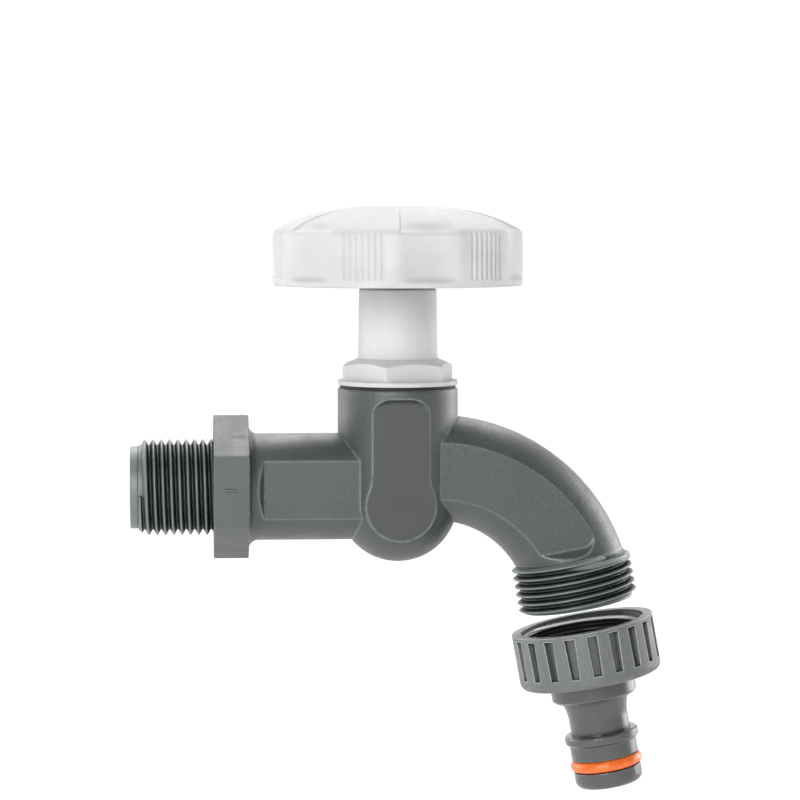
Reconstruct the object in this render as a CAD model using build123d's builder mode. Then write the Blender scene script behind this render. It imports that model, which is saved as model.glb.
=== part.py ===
"""Water butt tap with handwheel, bonnet, rising valve and a hose connector."""

from build123d import *
import math
import os

os.makedirs("parts", exist_ok=True)

# Millimetres. The origin is the middle of the wall face of the hex flange, on the inlet axis.
# +X points away from the wall, +Z is up.

# Pipe threads: 55 degree form, 14 turns to the inch
pipe_pitch = 1.814
pipe_flank = 27.5
pipe_crest = 0.26
inlet_crest_radius = 10.478
inlet_root_radius = 9.3
spout_crest_radius = 13.22
spout_root_radius = 12.05

# Play between a screwed-on thread and its partner
play_radial = 0.3
play_axial = 0.05

# How far a cut reaches past the surface it opens
overcut = 1.0

# Inlet stud and hex flange
stud_length = 18.1
pilot_length = 1.8
pilot_radius = 9.0
stud_bevel = 1.3
stud_thread_start = 1.35
inlet_bore_radius = 6.6
flange_across_flats = 27.3
flange_thickness = 7.7
flange_bevel = 0.35
relief_radius = 11.2
relief_depth = 0.5
mark_length = 2.8
mark_width = 0.35
mark_height = 0.3
mark_x = 3.5
mark_z = 0.44

# Inlet pipe
pipe_radius = 11.7
pipe_root_fillet = 2.0
pipe_flat_depth = 9.85
pipe_flat_start = 2.05
pipe_flat_ramp = 1.2

# Barrel with its ball-shaped bottom
barrel_x = 40.5
barrel_radius = 13.2
barrel_top = 21.9
barrel_edge = 0.8
ball_z = -3.4
ball_wall = 3.0
gate_radius = 1.2

# Flat pad on the front and back of the barrel
pad_depth = 11.63
pad_width = 13.0
pad_top = 19.7
pad_corner = 4.6
pad_disc_radius = 7.85
pad_disc_blend = 13.0

# Bent spout
bend_x = 48.5
bend_z = -28.65
bend_radius = 32.63
spout_radius = 11.65
spout_bore_radius = 7.4
spout_tilt = 10.3
spout_turn_end = 22.1
spout_turn_start = 98.0
spout_flat_depth = 9.9
spout_flat_width = 12.6
spout_flat_margin = 3.0
spout_flat_corner = 2.6
spout_flat_slope = 45
spout_flat_over = 0.5
spout_thread_length = 10.2
spout_thread_start = 0.4
spout_bevel = 0.7
mouth_radius = 9.2
mouth_depth = 8.0
mouth_cone = 1.7
mouth_step = 0.15
thread_turn = 60
lead_from = -60
lead_to = 58
lead_fade_turn = 85
lead_fade_radius = 12.7
lead_end = 110
lead_level = -0.1
lead_slope = 3.7
lead_radius = 13.1
lead_thickness = 1.35

# Valve seat inside the barrel
seat_radius = 5.0
seat_rim = 1.5
seat_height = 1.2
seat_floor_z = 1.8
floor_thickness = 2.4
inlet_bore_end = 20.0
throat_drop = 6.2
throat_radius = 5.2
throat_reach = 7.0
window_radius = 4.6
window_z = 7.0
window_reach = 6.5
window_turn = 79.0

# Bonnet
bonnet_pitch = 1.5
bonnet_flank = 30
bonnet_crest = 0.2
bonnet_thread_radius = 9.0
bonnet_thread_depth = 0.9
joint_play = 0.2
gasket_thickness = 0.5
gasket_radius = 12.7
bonnet_flange_radius = 13.15
bonnet_flange_thickness = 0.95
bonnet_across_flats = 22.0
bonnet_turn = -15
bonnet_cone_slope = 23
bonnet_cone_top = 28.2
sleeve_foot_radius = 8.75
sleeve_top_radius = 8.5
sleeve_top = 43.4
sleeve_edge = 0.3

# Spindle and its screw thread in the bonnet
valve_lift = 6.0
lift_pitch = 3.0
lift_flank = 15
lift_crest = 0.7
lift_crest_radius = 6.2
lift_play_axial = 0.12
lift_thread_length = 7.2
lift_clearance = 0.2
lift_runout = 0.8
lift_relief = 1.9
stem_radius = 5.25
stem_play = 0.08
square_size = 7.2
square_length = 9.0
drive_play = 0.1
wheel_gap = 1.0

# Stem seals
seal_wire_radius = 0.75
seal_squeeze = 0.05
seal_groove_width = 1.8
seal_fit = 0.03
seal_spacing = 4.0
seal_margin = 0.1

# Jumper, washer and nut
washer_radius = 6.9
washer_thickness = 3.0
jumper_radius = 7.2
jumper_plate = 2.4
jumper_stem_radius = 2.5
jumper_stem_length = 7.0
stud_radius = 1.5
nut_across_flats = 5.5
nut_height = 2.3
stud_tip = 0.4
thread_fit = 0.05
seat_gap = 0.1
running_gap = 0.1

# Handwheel
wheel_radius = 27.4
wheel_bottom = 44.45
wheel_shoulder = 56.0
wheel_top = 61.5
wheel_shell = 2.2
wheel_bore_radius = 23.6
wheel_rim = 1.1
wheel_rim_edge = 0.5
wheel_shoulder_edge = 1.2
grips = 6
scallop_arc = 27
scallop_middle = 10.7
scallop_depth = 1.6
sector_depth = 0.45
sector_start = 10.0
groove_count = 7
groove_spacing = 1.4
groove_radius = 0.42
groove_middle = 40.7
groove_foot = 1.6
hub_radius = 8.0
web_thickness = 1.8
web_bottom = 47.0
cap_radius = 6.5
cap_thickness = 1.6
cap_edge = 0.5
cap_fit = 0.1
cap_sink = 0.15
cap_skirt = 1.8
cap_skirt_wall = 0.9
pocket_radius = 5.6
screw_radius = 2.0
screw_head_radius = 3.6
screw_head_height = 2.2
screw_head_edge = 0.7
screw_length = 12.0
screw_hole_depth = 10.5
screw_slot_width = 1.0
screw_slot_depth = 1.0
hub_web = 2.0

# Hose connector, measured down the spout axis from the top of its nut
connector_gap = 4.5
connector_nut_height = 12.4
nut_body_radius = 14.5
grip_radius = 15.75
grip_rim = 0.8
grip_band = 2.7
grip_lip_radius = 13.75
grip_foot_radius = 10.0
grip_fit = 0.03
grip_fillet = 1.4
grip_slots = 20
slot_width_top = 2.3
slot_width_foot = 1.8
thread_mouth = 0.7
connector_washer_top = 8.2
connector_washer_thickness = 1.6
connector_washer_radius = 11.9
connector_washer_bore = 7.5
connector_washer_fit = 0.05
shoulder_thickness = 1.6
collar_radius = 9.45
collar_foot = 16.6
collar_edge = 0.5
flare_radius = 7.7
neck_radius = 6.6
neck_top = 21.0
lock_top = 24.4
lock_radius = 8.2
lock_edge = 0.7
lock_foot = 26.8
band_radius = 7.45
ring_top = 29.9
ring_groove_width = 2.8
ring_wire_radius = 1.3
ring_outer_radius = 8.0
ring_fit = 0.04
tip_radius = 7.5
tip_edge = 1.6
connector_length = 36.4
nipple_bore_radius = 4.2
nipple_cone = 3.5

# Places worked out from the sizes above
bottom = (Align.CENTER, Align.CENTER, Align.MIN)
barrel_axis = Axis((barrel_x, 0, 0), (0, 0, 1))
barrel_section = Plane(origin=(barrel_x, 0, 0), x_dir=(1, 0, 0), z_dir=(0, -1, 0))
bend_axis = Axis((bend_x, 0, bend_z), (0, 1, 0))


def on_bend(radius, angle):
    """Point of the spout bend, at a radius and an angle above the horizontal."""
    turn = math.radians(angle)
    return (bend_x + radius * math.cos(turn), bend_z + radius * math.sin(turn))


tilt = math.radians(spout_tilt)
mouth_x, mouth_z = on_bend(bend_radius, spout_turn_end)
# Local Z of this plane runs down the spout axis, local X points away from the wall
spout_plane = Plane(
    origin=(mouth_x, 0, mouth_z),
    x_dir=(math.cos(tilt), 0, math.sin(tilt)),
    z_dir=(math.sin(tilt), 0, -math.cos(tilt)),
)

seat_top = seat_floor_z + seat_height
washer_foot = seat_top + seat_gap
plate_foot = washer_foot + washer_thickness
plate_top = plate_foot + jumper_plate
spindle_foot = plate_top + running_gap
bonnet_foot = plate_top + valve_lift + lift_clearance
bonnet_thread_length = barrel_top - bonnet_foot
bonnet_flange_foot = barrel_top + gasket_thickness
bonnet_flange_top = bonnet_flange_foot + bonnet_flange_thickness
bonnet_root_radius = bonnet_thread_radius - bonnet_thread_depth
chamber_radius = bonnet_root_radius + joint_play
lift_thread_foot = bonnet_foot + running_gap
lift_thread_top = lift_thread_foot + lift_thread_length
lift_bore_radius = stem_radius + play_radial
stem_bore_foot = lift_thread_top + valve_lift + lift_relief
stem_bore_radius = stem_radius + stem_play
stem_top = sleeve_top + wheel_gap
square_top = stem_top + square_length
seal_radius = stem_bore_radius - seal_squeeze
seal_centre_radius = seal_radius - seal_wire_radius
seal_half = seal_groove_width / 2
seal_lower_z = stem_bore_foot + seal_half + seal_margin
seal_upper_z = seal_lower_z + seal_spacing
seal_floor_radius = seal_centre_radius - seal_wire_radius - seal_fit
chamber_ball_radius = barrel_radius - ball_wall
gate_turn = math.degrees(math.asin(gate_radius / chamber_ball_radius))
cap_top = wheel_top - cap_sink
cap_seat = cap_top - cap_thickness
screw_seat = square_top + drive_play + hub_web
spout_thread_plane = spout_plane.offset(-spout_thread_start)
connector_rest = spout_thread_length + connector_gap
connector_plane = spout_plane.offset(connector_rest)
connector_axis = Axis(connector_plane.origin, connector_plane.z_dir)
# Radius along local X and distance below the nut's top along local Y
connector_section = Plane(
    origin=connector_plane.origin,
    x_dir=connector_plane.x_dir,
    z_dir=connector_plane.x_dir.cross(connector_plane.z_dir),
)
turns_to_connector = math.floor((connector_rest + spout_thread_start) / pipe_pitch)
socket_floor = connector_washer_top + connector_washer_thickness
shoulder_foot = socket_floor + shoulder_thickness
ring_centre = ring_outer_radius - ring_wire_radius
ring_floor_radius = ring_centre - ring_wire_radius - ring_fit


def upright(z):
    """Level plane on the barrel axis at a height."""
    return Plane((barrel_x, 0, z))


def dome(radius, drop=0):
    """Point of the handwheel's dome at a radius, lowered by a drop."""
    fall = (wheel_top - wheel_shoulder) * (radius / wheel_radius) ** 3
    return (radius, wheel_top - fall - drop)


def thread_ridge(plane, crest_radius, root_radius, length, pitch, crest, flank, grow_out, grow_side):
    """Ridge of a right-hand screw thread that winds along the plane's normal.

    It starts on the plane's X side. The two grow values make it larger all over, for cutting
    the groove of the other half of the screw joint.
    """
    sunk_radius = root_radius - play_radial
    top = crest_radius + grow_out
    half_top = crest / 2 + grow_side
    half_foot = half_top + (top - sunk_radius) * math.tan(math.radians(flank))
    with BuildPart() as ridge:
        with BuildLine() as path:
            Helix(pitch=pitch, height=length, radius=root_radius)
        with BuildSketch(Plane.XZ) as outline:
            with BuildLine():
                Polyline(
                    (sunk_radius, -half_foot),
                    (top, -half_top),
                    (top, half_top),
                    (sunk_radius, half_foot),
                    close=True,
                )
            make_face()
        sweep(path=path.line, is_frenet=True)
    return plane.location * ridge.part


# Tap body: spout
turn = math.radians(spout_turn_start)
bend_start = on_bend(bend_radius, spout_turn_start)
bend_section = Plane(
    origin=(bend_start[0], 0, bend_start[1]),
    x_dir=(math.cos(turn), 0, math.sin(turn)),
    z_dir=(math.sin(turn), 0, -math.cos(turn)),
)
with BuildPart() as spout:
    with BuildSketch(bend_section):
        Circle(spout_radius)
    revolve(axis=bend_axis, revolution_arc=spout_turn_start)
    split(bisect_by=spout_plane, keep=Keep.BOTTOM)
    # Flats on both sides, ending in a slope before the thread
    for side in (1, -1):
        with BuildSketch(Plane.XZ.offset(side * spout_flat_depth)) as flat:
            with Locations((bend_x, bend_z)):
                Circle(bend_radius + spout_flat_width / 2)
                Circle(bend_radius - spout_flat_width / 2, mode=Mode.SUBTRACT)
            with Locations(Location((mouth_x, mouth_z), spout_tilt)):
                with Locations((0, spout_flat_margin)):
                    Rectangle(
                        4 * bend_radius,
                        4 * bend_radius,
                        align=(Align.CENTER, Align.MIN),
                        mode=Mode.INTERSECT,
                    )
            with Locations((barrel_x, bend_z)):
                Rectangle(
                    2 * bend_radius,
                    2 * bend_radius,
                    align=(Align.MIN, Align.MIN),
                    mode=Mode.INTERSECT,
                )
            fillet(flat.vertices().sort_by(Axis.Y)[:2], radius=spout_flat_corner)
        flat_cut = side * (spout_radius - spout_flat_depth + spout_flat_over)
        extrude(amount=flat_cut, taper=-spout_flat_slope, mode=Mode.SUBTRACT)

# Tap body: threads
inlet_ridge = thread_ridge(
    Plane.ZY.offset(-stud_thread_start),
    inlet_crest_radius,
    inlet_root_radius,
    stud_length - pilot_length + stud_thread_start,
    pipe_pitch,
    pipe_crest,
    pipe_flank,
    0,
    0,
)
thread_advance = pipe_pitch * thread_turn / 360
thread_angle = math.radians(thread_turn)
thread_outward = spout_plane.x_dir * math.cos(thread_angle) + spout_plane.y_dir * math.sin(thread_angle)
spout_ridge = thread_ridge(
    Plane(
        origin=spout_thread_plane.origin + spout_plane.z_dir * thread_advance,
        x_dir=thread_outward,
        z_dir=spout_plane.z_dir,
    ),
    spout_crest_radius,
    spout_root_radius,
    spout_thread_length + spout_thread_start - thread_advance,
    pipe_pitch,
    pipe_crest,
    pipe_flank,
    0,
    0,
)
bonnet_groove = thread_ridge(
    upright(bonnet_foot - bonnet_pitch),
    bonnet_thread_radius,
    bonnet_root_radius,
    bonnet_thread_length + 2 * bonnet_pitch,
    bonnet_pitch,
    bonnet_crest,
    bonnet_flank,
    joint_play,
    play_axial,
)

with BuildPart() as tap_body:
    # Hex flange with bevelled corners
    corner_radius = flange_across_flats / math.sqrt(3)
    with BuildSketch(Plane.YZ):
        RegularPolygon(flange_across_flats / 2, 6, major_radius=False, rotation=90)
    extrude(amount=flange_thickness)
    with BuildSketch(Plane.XZ):
        with BuildLine():
            Polyline(
                (0, 0),
                (0, corner_radius - flange_bevel),
                (flange_bevel / 2, corner_radius),
                (flange_thickness - flange_bevel / 2, corner_radius),
                (flange_thickness, corner_radius - flange_bevel),
                (flange_thickness, 0),
                close=True,
            )
        make_face()
    revolve(axis=Axis.X, mode=Mode.INTERSECT)

    # Inlet pipe with its root fillet
    root_start = (flange_thickness + pipe_root_fillet, pipe_radius)
    root_end = (flange_thickness, pipe_radius + pipe_root_fillet)
    with BuildSketch(Plane.XZ):
        with BuildLine():
            Polyline((flange_thickness / 2, 0), (barrel_x, 0), (barrel_x, pipe_radius), root_start)
            RadiusArc(root_start, root_end, pipe_root_fillet)
            Polyline(root_end, (flange_thickness / 2, root_end[1]), (flange_thickness / 2, 0))
        make_face()
    revolve(axis=Axis.X)

    # Flats on both sides of the pipe
    flat_start = flange_thickness + pipe_flat_start
    with BuildSketch(Plane.XY) as pipe_flat:
        with BuildLine():
            Polyline(
                (flat_start, pipe_radius + pipe_root_fillet),
                (flat_start, pipe_radius),
                (flat_start + pipe_flat_ramp, pipe_flat_depth),
                (barrel_x, pipe_flat_depth),
                (barrel_x, pipe_radius + pipe_root_fillet),
                close=True,
            )
        make_face()
        mirror(about=Plane.XZ)
    extrude(amount=pipe_radius, both=True, mode=Mode.SUBTRACT)

    # Barrel with its ball-shaped bottom
    with BuildSketch(barrel_section):
        with BuildLine():
            ball = CenterArc((0, ball_z), barrel_radius, gate_turn - 90, 90 - gate_turn)
            Line((barrel_radius, ball_z), (barrel_radius, barrel_top - barrel_edge))
            CenterArc(
                (barrel_radius - barrel_edge, barrel_top - barrel_edge), barrel_edge, 0, 90
            )
            Polyline(
                (barrel_radius - barrel_edge, barrel_top),
                (0, barrel_top),
                (0, (ball @ 0).Y),
                ball @ 0,
            )
        make_face()
    revolve(axis=barrel_axis)
    add(spout.part)

    # Flat keyhole pads on the front and back
    pad_half = math.sqrt(barrel_radius**2 - pad_depth**2)
    with BuildSketch(Plane.XZ) as disc:
        with Locations((barrel_x, ball_z)):
            Circle(pad_disc_radius)
            Rectangle(2 * pad_half - play_axial, pad_top, align=(Align.CENTER, Align.MIN))
        corners = disc.vertices().filter_by_position(
            Axis.Y, ball_z + pad_disc_radius / 4, ball_z + pad_disc_radius
        )
        fillet(corners, radius=pad_disc_blend)
    extrude(amount=pad_depth, both=True)
    for side in (1, -1):
        with BuildSketch(Plane.XZ.offset(side * pad_depth)) as pad:
            with Locations((barrel_x, ball_z)):
                Rectangle(pad_width, pad_top - ball_z, align=(Align.CENTER, Align.MIN))
                fillet(pad.vertices().sort_by(Axis.Y)[-2:], radius=pad_corner)
                Circle(pad_disc_radius)
        extrude(amount=side * barrel_radius, mode=Mode.SUBTRACT)

    # Relief round the stud, so that a washer can lie flat on the flange
    with BuildSketch(Plane.YZ):
        Circle(relief_radius)
    extrude(amount=relief_depth, mode=Mode.SUBTRACT)

    # Inlet stud with its thread
    with BuildSketch(Plane.XZ):
        with BuildLine():
            Polyline(
                (relief_depth, 0),
                (relief_depth, inlet_root_radius),
                (pilot_length - stud_length, inlet_root_radius),
                (pilot_length - stud_length, pilot_radius),
                (-stud_length, pilot_radius),
                (-stud_length, 0),
                close=True,
            )
        make_face()
    revolve(axis=Axis.X)
    add(inlet_ridge)
    inlet_over_radius = 2 * inlet_crest_radius - inlet_root_radius
    with BuildSketch(Plane.XZ):
        with BuildLine():
            Polyline(
                (pilot_length - stud_length, inlet_root_radius),
                (pilot_length - stud_length + 2 * stud_bevel, inlet_over_radius),
                (-stud_length, inlet_over_radius),
                (-stud_length, pilot_radius),
                (pilot_length - stud_length, pilot_radius),
                close=True,
            )
        make_face()
    revolve(axis=Axis.X, mode=Mode.SUBTRACT)

    # Spout end with its thread, which starts from a thickened lead that fades out
    with BuildSketch(spout_plane):
        Circle(spout_root_radius)
    extrude(amount=spout_thread_length)
    add(spout_ridge)
    fade_middle = math.radians(lead_fade_turn)
    fade_end = math.radians(lead_end)
    lead_sunk_radius = spout_root_radius - play_radial
    lead_tilt = math.radians(spout_tilt - lead_slope)
    lead_plane = Plane(
        origin=spout_plane.origin + spout_plane.z_dir * lead_level,
        x_dir=(math.cos(lead_tilt), 0, math.sin(lead_tilt)),
        z_dir=(math.sin(lead_tilt), 0, -math.cos(lead_tilt)),
    )
    with BuildSketch(lead_plane):
        with BuildLine():
            edge = CenterArc((0, 0), lead_radius, lead_from, lead_to - lead_from)
            fade = ThreePointArc(
                edge @ 1,
                (lead_fade_radius * math.cos(fade_middle), lead_fade_radius * math.sin(fade_middle)),
                (lead_sunk_radius * math.cos(fade_end), lead_sunk_radius * math.sin(fade_end)),
            )
            Polyline(fade @ 1, (0, 0), edge @ 0)
        make_face()
    extrude(amount=lead_thickness)

    # Raised bar on the front flat of the hex
    with BuildSketch(Plane.XZ.offset(flange_across_flats / 2)):
        with Locations((mark_x, mark_z)):
            Rectangle(mark_length, mark_width)
    extrude(amount=mark_height)

    # Trim the thread at the mouth and bevel its end
    mouth_section = Plane(
        origin=spout_plane.origin,
        x_dir=spout_plane.x_dir,
        z_dir=spout_plane.x_dir.cross(spout_plane.z_dir),
    )
    spout_axis = Axis(spout_plane.origin, spout_plane.z_dir)
    spout_over_radius = 2 * spout_crest_radius - spout_root_radius
    with BuildSketch(mouth_section):
        with BuildLine():
            Polyline(
                (mouth_radius, spout_thread_length),
                (spout_root_radius, spout_thread_length),
                (spout_over_radius, spout_thread_length - 2 * spout_bevel),
                (spout_over_radius, spout_thread_length + pipe_pitch),
                (mouth_radius, spout_thread_length + pipe_pitch),
                close=True,
            )
        make_face()
    revolve(axis=spout_axis, mode=Mode.SUBTRACT)

    # Inlet waterway, which drops below the valve seat
    with BuildSketch(Plane.YZ.offset(-stud_length)):
        Circle(inlet_bore_radius)
    extrude(amount=stud_length + inlet_bore_end, mode=Mode.SUBTRACT)
    with BuildSketch(Plane.YZ.offset(inlet_bore_end)):
        Circle(inlet_bore_radius)
    with BuildSketch(Plane.YZ.offset(barrel_x - throat_reach)):
        with Locations((0, -throat_drop)):
            Circle(throat_radius)
    loft(mode=Mode.SUBTRACT)
    seat_floor_foot = seat_floor_z - floor_thickness
    floor_turn = math.degrees(math.asin((seat_floor_foot - ball_z) / chamber_ball_radius))
    with BuildSketch(barrel_section):
        with BuildLine():
            hollow = CenterArc(
                (0, ball_z), chamber_ball_radius, gate_turn - 90, 90 - gate_turn + floor_turn
            )
            Polyline(hollow @ 1, (0, seat_floor_foot), (0, (hollow @ 0).Y), hollow @ 0)
        make_face()
    revolve(axis=barrel_axis, mode=Mode.SUBTRACT)

    # Chamber above the seat, with the thread for the bonnet
    add(bonnet_groove, mode=Mode.SUBTRACT)
    with Locations(upright(seat_floor_z)):
        Cylinder(chamber_radius, barrel_top - seat_floor_z, align=bottom, mode=Mode.SUBTRACT)
    with BuildSketch(upright(seat_floor_foot + floor_thickness / 2)):
        Circle(seat_radius + seat_rim)
    extrude(amount=floor_thickness / 2 + seat_height)
    with BuildSketch(upright(seat_floor_foot)):
        Circle(seat_radius)
    extrude(amount=floor_thickness + seat_height, mode=Mode.SUBTRACT)

    # Outlet waterway: a window above the seat, the bend and the mouth
    window_x, window_end_z = on_bend(bend_radius, window_turn)
    window_lean = math.radians(window_turn)
    window_end = Plane(
        origin=(window_x, 0, window_end_z),
        x_dir=(0, 1, 0),
        z_dir=(math.sin(window_lean), 0, -math.cos(window_lean)),
    )
    with BuildSketch(Plane.YZ.offset(barrel_x + window_reach)):
        with Locations((0, window_z)):
            Circle(window_radius)
    with BuildSketch(window_end):
        Circle(spout_bore_radius)
    loft(mode=Mode.SUBTRACT)
    with BuildSketch(window_end):
        Circle(spout_bore_radius)
    revolve(axis=bend_axis, revolution_arc=window_turn - spout_turn_end, mode=Mode.SUBTRACT)
    with BuildSketch(mouth_section):
        with BuildLine():
            Polyline(
                (0, -mouth_cone),
                (spout_bore_radius + mouth_step, -mouth_cone),
                (spout_bore_radius + mouth_step, spout_thread_length - mouth_depth - mouth_cone),
                (mouth_radius, spout_thread_length - mouth_depth),
                (mouth_radius, spout_thread_length),
                (0, spout_thread_length),
                close=True,
            )
        make_face()
    revolve(axis=spout_axis, mode=Mode.SUBTRACT)

# Bonnet, screwed in the barrel
bonnet_ridge = thread_ridge(
    upright(bonnet_foot),
    bonnet_thread_radius,
    bonnet_root_radius,
    bonnet_thread_length - bonnet_pitch,
    bonnet_pitch,
    bonnet_crest,
    bonnet_flank,
    0,
    0,
)
lift_groove = thread_ridge(
    upright(lift_thread_foot - lift_pitch),
    lift_crest_radius,
    stem_radius,
    lift_thread_length + valve_lift + lift_pitch + lift_runout,
    lift_pitch,
    lift_crest,
    lift_flank,
    play_radial,
    lift_play_axial,
)
cone_corner = bonnet_across_flats / math.sqrt(3) + overcut
cone_foot = bonnet_cone_top - (cone_corner - sleeve_foot_radius) * math.tan(
    math.radians(bonnet_cone_slope)
)

with BuildPart() as bonnet:
    with BuildSketch(upright(bonnet_flange_top)):
        RegularPolygon(
            bonnet_across_flats / 2, 6, major_radius=False, rotation=bonnet_turn + 90
        )
    extrude(amount=bonnet_cone_top - bonnet_flange_top)
    with BuildSketch(barrel_section):
        with BuildLine():
            Polyline(
                (0, bonnet_flange_top),
                (cone_corner, bonnet_flange_top),
                (cone_corner, cone_foot),
                (sleeve_foot_radius, bonnet_cone_top),
                (0, bonnet_cone_top),
                close=True,
            )
        make_face()
    revolve(axis=barrel_axis, mode=Mode.INTERSECT)
    with BuildSketch(barrel_section):
        with BuildLine():
            Polyline(
                (0, bonnet_foot),
                (bonnet_root_radius, bonnet_foot),
                (bonnet_root_radius, bonnet_flange_foot),
                (bonnet_flange_radius, bonnet_flange_foot),
                (bonnet_flange_radius, bonnet_flange_top),
                (sleeve_foot_radius, bonnet_flange_top),
                (sleeve_foot_radius, bonnet_cone_top),
                (sleeve_top_radius, sleeve_top - sleeve_edge),
                (sleeve_top_radius - sleeve_edge, sleeve_top),
                (0, sleeve_top),
                close=True,
            )
        make_face()
    revolve(axis=barrel_axis)
    add(bonnet_ridge)
    with BuildSketch(upright(bonnet_foot - bonnet_pitch)):
        Circle(bonnet_thread_radius + overcut)
    extrude(amount=bonnet_pitch, mode=Mode.SUBTRACT)
    add(lift_groove, mode=Mode.SUBTRACT)
    with Locations(upright(bonnet_foot)):
        Cylinder(
            lift_bore_radius,
            stem_bore_foot - bonnet_foot,
            align=bottom,
            mode=Mode.SUBTRACT,
        )
    with Locations(upright(stem_bore_foot)):
        Cylinder(
            stem_bore_radius, sleeve_top - stem_bore_foot, align=bottom, mode=Mode.SUBTRACT
        )

# Gasket between the bonnet's flange and the barrel
with BuildPart() as bonnet_gasket:
    with BuildSketch(upright(barrel_top)):
        Circle(gasket_radius)
        Circle(bonnet_thread_radius + joint_play, mode=Mode.SUBTRACT)
    extrude(amount=gasket_thickness)

# Spindle with its lifting thread, two seal grooves and a square top
lift_ridge = thread_ridge(
    upright(lift_thread_foot),
    lift_crest_radius,
    stem_radius,
    lift_thread_length,
    lift_pitch,
    lift_crest,
    lift_flank,
    0,
    0,
)
socket_radius = jumper_stem_radius + stem_play
socket_top = spindle_foot + jumper_stem_length + running_gap

with BuildPart() as spindle:
    with BuildSketch(barrel_section):
        with BuildLine():
            Polyline(
                (0, spindle_foot),
                (stem_radius, spindle_foot),
                (stem_radius, seal_lower_z - seal_half),
                (seal_floor_radius, seal_lower_z - seal_half),
                (seal_floor_radius, seal_lower_z + seal_half),
                (stem_radius, seal_lower_z + seal_half),
                (stem_radius, seal_upper_z - seal_half),
                (seal_floor_radius, seal_upper_z - seal_half),
                (seal_floor_radius, seal_upper_z + seal_half),
                (stem_radius, seal_upper_z + seal_half),
                (stem_radius, stem_top),
                (0, stem_top),
                close=True,
            )
        make_face()
    revolve(axis=barrel_axis)
    with BuildSketch(upright(stem_top)):
        Rectangle(square_size, square_size)
    extrude(amount=square_length)
    add(lift_ridge)
    with BuildSketch(upright(spindle_foot)):
        Circle(socket_radius)
    extrude(amount=socket_top - spindle_foot, mode=Mode.SUBTRACT)
    with BuildSketch(upright(square_top - screw_hole_depth)):
        Circle(screw_radius + thread_fit)
    extrude(amount=screw_hole_depth, mode=Mode.SUBTRACT)


def ring_seal(plane, axis, centre_radius, height, wire_radius):
    """Rubber ring of round section about an axis."""
    with BuildPart() as seal:
        with BuildSketch(plane):
            with Locations((centre_radius, height)):
                Circle(wire_radius)
        revolve(axis=axis)
    return seal


stem_o_ring_upper = ring_seal(
    barrel_section, barrel_axis, seal_centre_radius, seal_upper_z, seal_wire_radius
)
stem_o_ring_lower = ring_seal(
    barrel_section, barrel_axis, seal_centre_radius, seal_lower_z, seal_wire_radius
)

# Jumper that carries the washer, with a stud for the nut
with BuildPart() as valve_jumper:
    with BuildSketch(upright(plate_foot)):
        Circle(jumper_radius)
    extrude(amount=jumper_plate)
    with BuildSketch(upright(plate_top)):
        Circle(jumper_stem_radius)
    extrude(amount=jumper_stem_length)
    with BuildSketch(upright(washer_foot - nut_height - stud_tip)):
        Circle(stud_radius)
    extrude(amount=nut_height + stud_tip + washer_thickness)

with BuildPart() as valve_washer:
    with BuildSketch(upright(washer_foot)):
        Circle(washer_radius)
        Circle(stud_radius + thread_fit, mode=Mode.SUBTRACT)
    extrude(amount=washer_thickness)

with BuildPart() as washer_nut:
    with BuildSketch(upright(washer_foot - nut_height)):
        RegularPolygon(nut_across_flats / 2, 6, major_radius=False)
        Circle(stud_radius + thread_fit, mode=Mode.SUBTRACT)
    extrude(amount=nut_height)

# Hollow of the handwheel, round its hub and webs
with BuildPart() as wheel_hollow:
    with BuildSketch(barrel_section):
        with BuildLine():
            roof = Spline(
                dome(0, wheel_shell),
                dome(wheel_bore_radius / 3, wheel_shell),
                dome(2 * wheel_bore_radius / 3, wheel_shell),
                dome(wheel_bore_radius, wheel_shell),
            )
            Polyline(roof @ 1, (wheel_bore_radius, wheel_bottom), (0, wheel_bottom), roof @ 0)
        make_face()
    revolve(axis=barrel_axis)
    with BuildSketch(upright(stem_top)):
        Circle(hub_radius)
    extrude(amount=wheel_top - stem_top, mode=Mode.SUBTRACT)
    with BuildSketch(upright(web_bottom)):
        with PolarLocations(wheel_bore_radius / 2, grips, start_angle=scallop_middle - 90):
            Rectangle(wheel_bore_radius + overcut, web_thickness)
    extrude(amount=wheel_top - web_bottom, mode=Mode.SUBTRACT)

scallop_half = math.radians(scallop_arc / 2)
scallop_chord = wheel_radius * math.sin(scallop_half)
scallop_sink = scallop_depth - wheel_radius * (1 - math.cos(scallop_half))
scallop_radius = (scallop_chord**2 + scallop_sink**2) / (2 * scallop_sink)
scallop_centre = wheel_radius - scallop_depth + scallop_radius
groove_step = math.degrees(groove_spacing / wheel_radius)

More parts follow.
